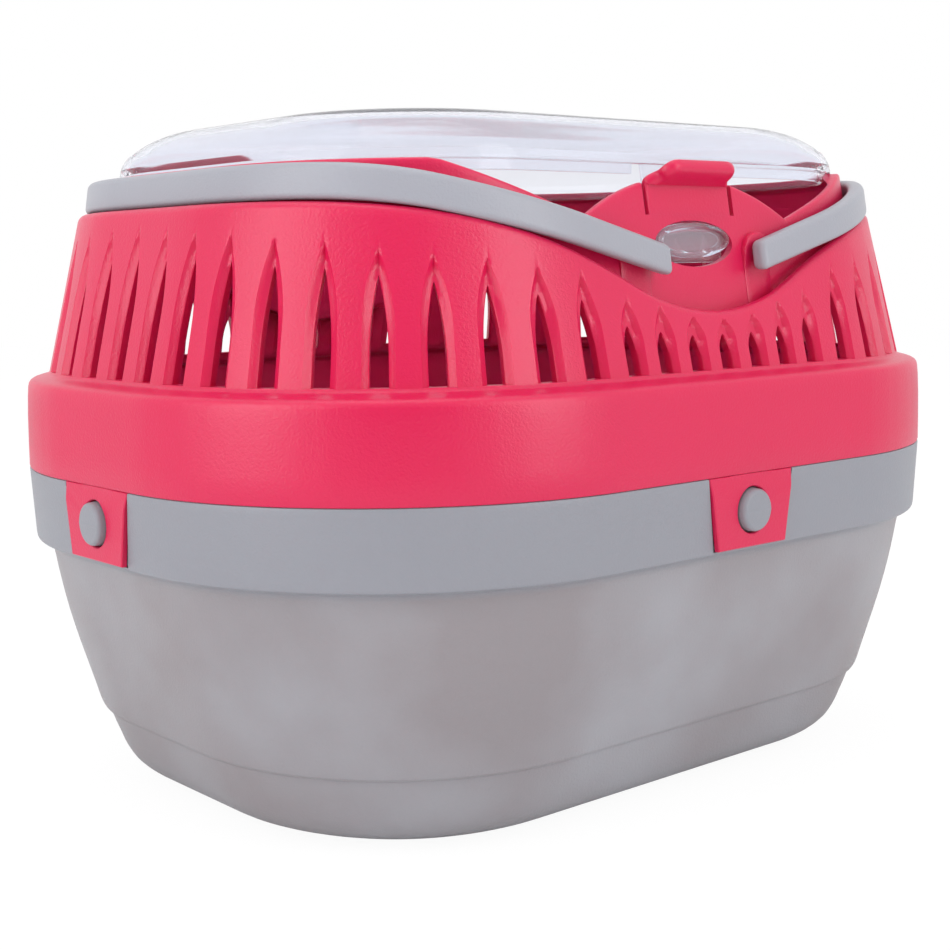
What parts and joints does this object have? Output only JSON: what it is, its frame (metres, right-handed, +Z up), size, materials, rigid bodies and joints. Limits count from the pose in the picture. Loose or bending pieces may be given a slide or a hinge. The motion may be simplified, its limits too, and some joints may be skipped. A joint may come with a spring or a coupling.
{
  "type": "small pet keeper",
  "caption": "Small-pet carrier: tapered tub, vented upper shell held by snap tabs, clear hinged lid with a sprung catch, and two folding bail handles.",
  "frame": {"origin": "centre of the footprint on the resting plane, under the tub", "axes": "+Z up, +X along the carrier's length to the right, -Y to the side with the lid's catch and the thumb latch"},
  "size_m": [0.3072, 0.2402, 0.2095],
  "materials": {
    "pale_grey": "satin translucent moulding",
    "rose_red": "satin moulding",
    "clear": "glossy clear plastic",
    "light_grey": "satin moulding"
  },
  "bodies": {
    "tub": {"base_tub": "pale_grey"},
    "shell": {"upper_shell": "rose_red"},
    "front_tab": {"front_clip": "rose_red"},
    "rear_tab": {"rear_clip": "rose_red"},
    "left_tab": {"left_clip": "rose_red"},
    "right_tab": {"right_clip": "rose_red"},
    "latch": {"thumb_latch": "rose_red"},
    "lid": {"clear_lid": "clear"},
    "catch": {"lid_catch": "clear"},
    "handle_left": {"left_handle": "light_grey"},
    "handle_right": {"right_handle": "light_grey"}
  },
  "joints": [
    {"name": "shell_lift", "type": "slide", "parent": "tub", "child": "shell", "axis": [0, 0, 1], "range_m": [0, 0.12]},
    {"name": "front_tab_flex", "type": "hinge", "parent": "shell", "child": "front_tab", "pos_m": [0, -0.1173, 0.104], "axis": [-1, 0, 0], "range_deg": [0, 18], "stiffness_Nm_per_rad": 0.4},
    {"name": "rear_tab_flex", "type": "hinge", "parent": "shell", "child": "rear_tab", "pos_m": [0, 0.1173, 0.104], "axis": [1, 0, 0], "range_deg": [0, 18], "stiffness_Nm_per_rad": 0.4},
    {"name": "left_tab_flex", "type": "hinge", "parent": "shell", "child": "left_tab", "pos_m": [-0.1508, 0, 0.104], "axis": [0, 1, 0], "range_deg": [0, 18], "stiffness_Nm_per_rad": 0.4},
    {"name": "right_tab_flex", "type": "hinge", "parent": "shell", "child": "right_tab", "pos_m": [0.1508, 0, 0.104], "axis": [0, -1, 0], "range_deg": [0, 18], "stiffness_Nm_per_rad": 0.4},
    {"name": "latch_flex", "type": "hinge", "parent": "shell", "child": "latch", "pos_m": [0, -0.09264, 0.179], "axis": [1, 0, 0], "range_deg": [0, 12], "stiffness_Nm_per_rad": 0.5},
    {"name": "lid_hinge", "type": "hinge", "parent": "shell", "child": "lid", "pos_m": [0, 0.0911, 0.1895], "axis": [1, 0, 0], "range_deg": [-100, 0]},
    {"name": "catch_press", "type": "hinge", "parent": "lid", "child": "catch", "pos_m": [0, -0.0854, 0.194], "axis": [1, 0, 0], "range_deg": [0, 14], "stiffness_Nm_per_rad": 0.3},
    {"name": "left_handle_lift", "type": "hinge", "parent": "shell", "child": "handle_left", "pos_m": [-0.027, 0, 0.168], "axis": [0, 1, 0], "range_deg": [0, 90]},
    {"name": "right_handle_lift", "type": "hinge", "parent": "shell", "child": "handle_right", "pos_m": [0.027, 0, 0.168], "axis": [0, -1, 0], "range_deg": [0, 90]}
  ]
}
